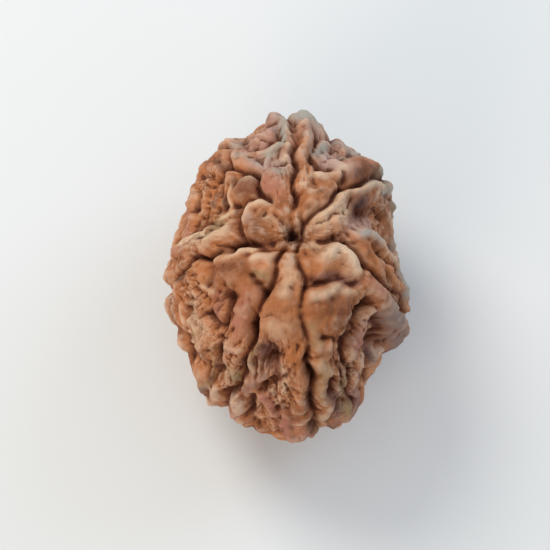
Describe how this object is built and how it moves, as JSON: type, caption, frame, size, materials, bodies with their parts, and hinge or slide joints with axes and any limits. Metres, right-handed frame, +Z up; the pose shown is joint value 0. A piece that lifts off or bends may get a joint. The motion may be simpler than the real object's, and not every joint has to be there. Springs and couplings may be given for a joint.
{
  "type": "seven mukhi rudraksha",
  "caption": "Oval rudraksha fruit stone with furrows running from end to end between knobbed, wrinkled faces, and a small natural mouth on top.",
  "frame": {"origin": "centre of the bounding box, on the surface that the stone rests on", "axes": "+Z up from the lower pole to the mouth; +Y along the stone's longer width; +X across it"},
  "size_m": [0.0196, 0.0266, 0.0216],
  "materials": {
    "woody_stone": "dry, matt to faintly waxy wood of a fruit stone: tan and terracotta bosses, dark purple-brown creases"
  },
  "bodies": {
    "root": {"rudraksha_stone": "woody_stone"}
  },
  "joints": []
}
